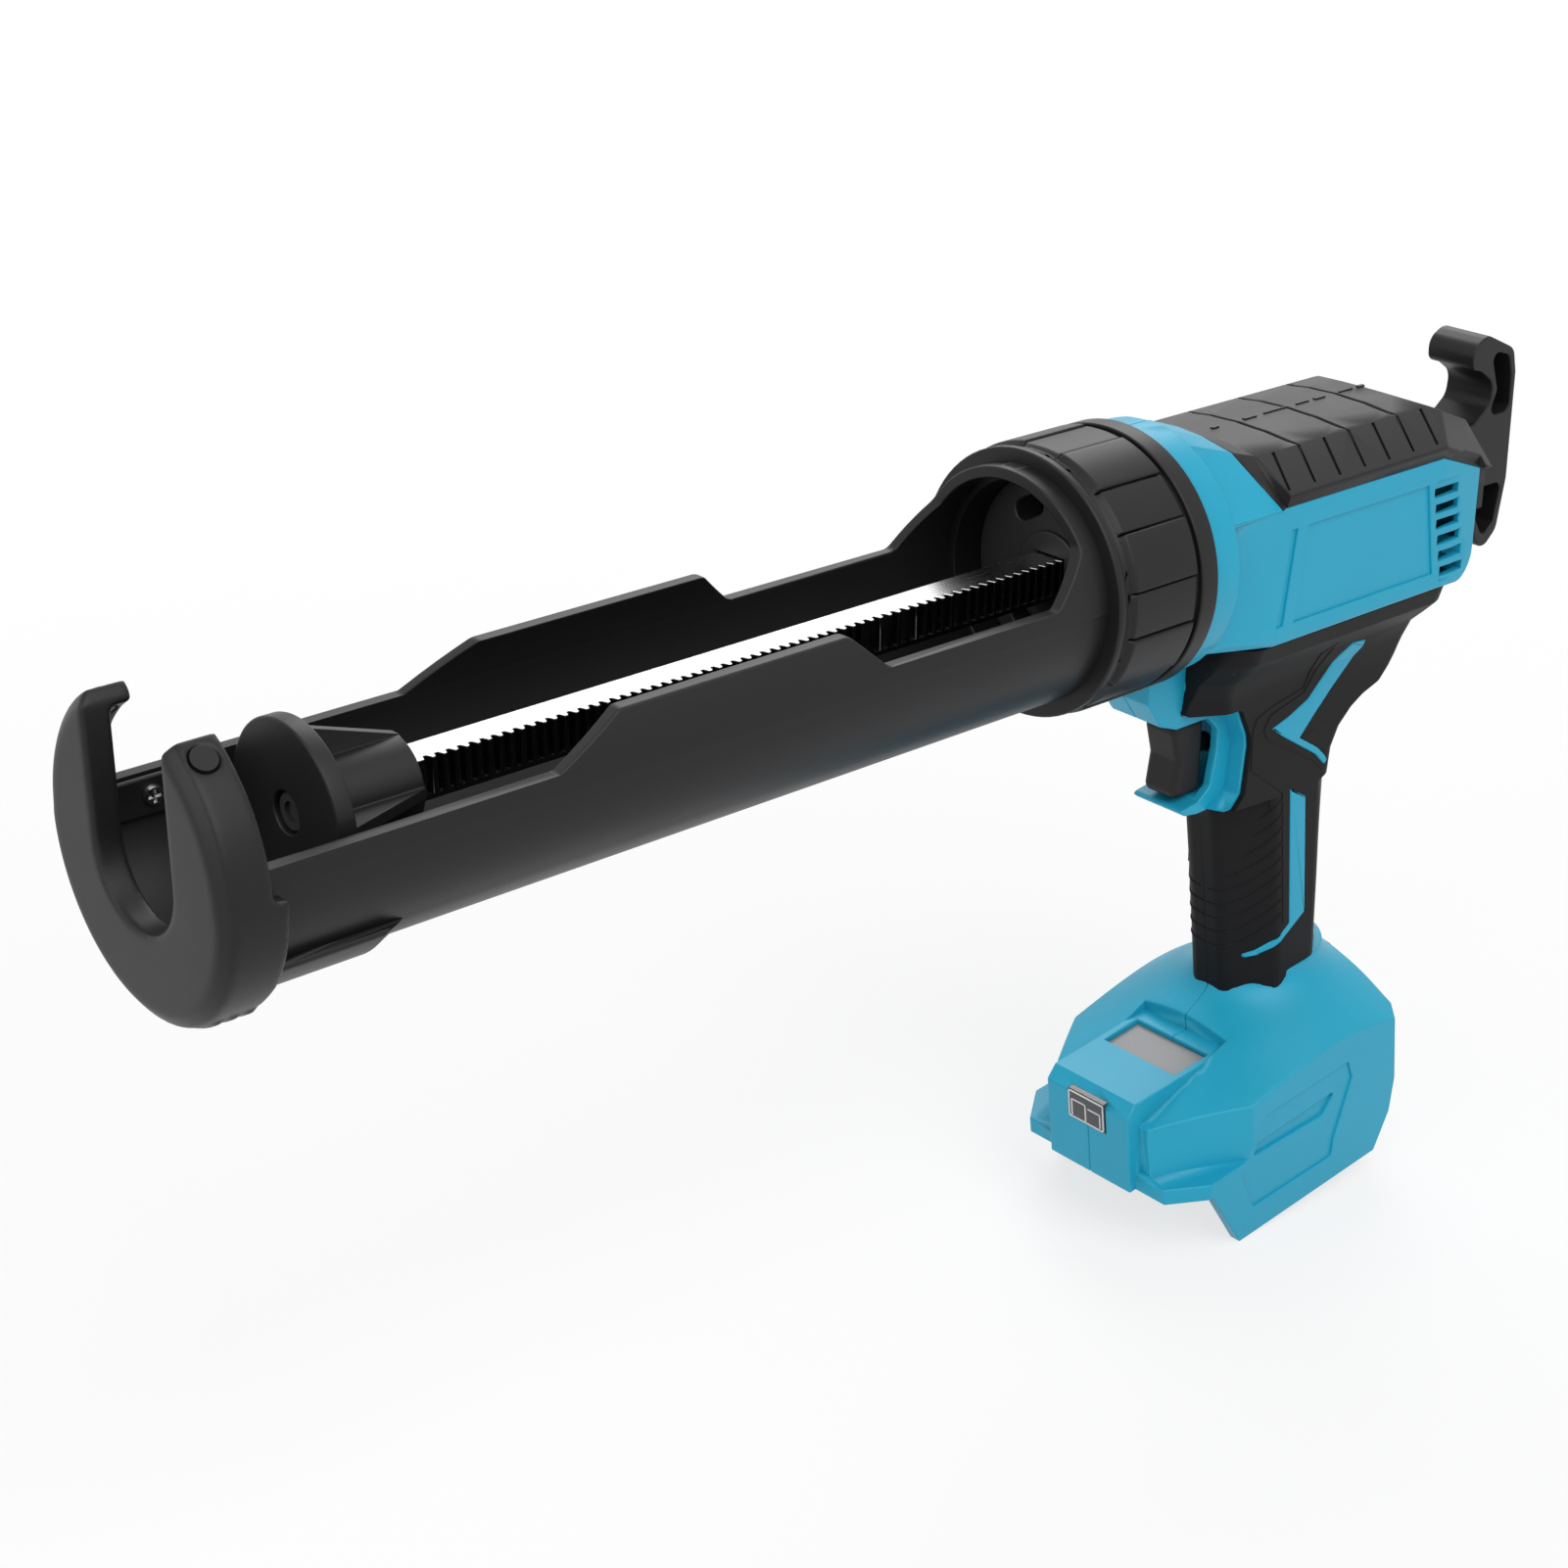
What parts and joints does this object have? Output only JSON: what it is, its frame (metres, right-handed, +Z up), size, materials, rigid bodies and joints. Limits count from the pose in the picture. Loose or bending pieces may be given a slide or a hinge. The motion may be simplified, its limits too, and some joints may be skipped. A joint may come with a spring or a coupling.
{
  "type": "cordless caulking tool",
  "caption": "Battery caulking tool with an open cartridge holder, rack-driven piston, locking collar, pull hook, pistol grip with trigger and speed dial, and a foot with lamp and display.",
  "frame": {"origin": "on the barrel axis, at the front face of the holder's rear flange", "axes": "+X forward along the barrel axis, +Y to the tool's left, +Z up"},
  "size_m": [0.4735, 0.0772, 0.2578],
  "materials": {
    "cyan_plastic": "satin moulded",
    "black_plastic": "satin moulded",
    "grip_rubber": "soft matte",
    "bright_steel": "bright",
    "gear_steel": "machined",
    "cast_aluminium": "dark anodised",
    "bearing_brass": "plain",
    "guide_plastic": "moulded",
    "board_green": "lacquered",
    "smoked_window": "polished",
    "clear_lens": "polished"
  },
  "bodies": {
    "tool_body": {"left_housing": "cyan_plastic", "right_housing": "cyan_plastic", "top_cover": "black_plastic", "left_grip": "grip_rubber", "right_grip": "grip_rubber", "gear_case": "cast_aluminium", "rack_guides": "guide_plastic", "pinion_bearings": "bearing_brass", "gearbox": "gear_steel", "gearbox_screws": "bright_steel", "motor": "bright_steel", "motor_cap": "guide_plastic", "switch": "guide_plastic", "dial_pot": "guide_plastic", "display_window": "smoked_window", "display_module": "guide_plastic", "lamp_lens": "clear_lens", "lamp_board": "board_green", "control_board": "board_green", "terminal_block": "guide_plastic", "terminal_blades": "bearing_brass", "housing_screws": "bright_steel"},
    "holder": {"holder_tray": "black_plastic", "nose_cap": "black_plastic", "nose_plugs": "black_plastic", "nose_screws": "bright_steel"},
    "collar": {"lock_collar": "black_plastic"},
    "push_rod": {"rack": "bright_steel", "piston": "black_plastic", "piston_screw": "bright_steel", "pull_hook": "black_plastic", "hook_screw": "bright_steel"},
    "pinion": {"rack_pinion": "gear_steel", "drive_gear": "gear_steel", "pinion_shaft": "bright_steel"},
    "motor_output": {"motor_pinion": "gear_steel"},
    "trigger_lever": {"trigger": "black_plastic"},
    "dial": {"speed_dial": "black_plastic"}
  },
  "joints": [
    {"name": "holder_turn", "type": "hinge", "parent": "tool_body", "child": "holder", "pos_m": [0, 0, 0], "axis": [1, 0, 0], "continuous": true},
    {"name": "collar_turn", "type": "hinge", "parent": "tool_body", "child": "collar", "pos_m": [-0.02, 0, 0], "axis": [1, 0, 0], "range_deg": [0, 60]},
    {"name": "rack_slide", "type": "slide", "parent": "tool_body", "child": "push_rod", "axis": [-1, 0, 0], "range_m": [0, 0.2]},
    {"name": "pinion_spin", "type": "hinge", "parent": "tool_body", "child": "pinion", "pos_m": [-0.09, 0.0112, 0], "axis": [0, 0, 1], "range_deg": [-1640, 0]},
    {"name": "motor_spin", "type": "hinge", "parent": "tool_body", "child": "motor_output", "pos_m": [-0.10894, 0, 0], "axis": [0, 0, 1], "range_deg": [0, 4370]},
    {"name": "trigger_pull", "type": "slide", "parent": "tool_body", "child": "trigger_lever", "axis": [-1, 0, 0], "range_m": [0, 0.006], "stiffness_N_per_m": 800, "springref_m": -0.006},
    {"name": "dial_turn", "type": "hinge", "parent": "tool_body", "child": "dial", "pos_m": [-0.1555, 0, -0.0465], "axis": [0, 1, 0], "range_deg": [0, 270]}
  ],
  "couplings": [
    {"joint": "pinion_spin", "follows": "rack_slide", "rad_per_m": -142.86},
    {"joint": "motor_spin", "follows": "rack_slide", "rad_per_m": 380.95}
  ]
}
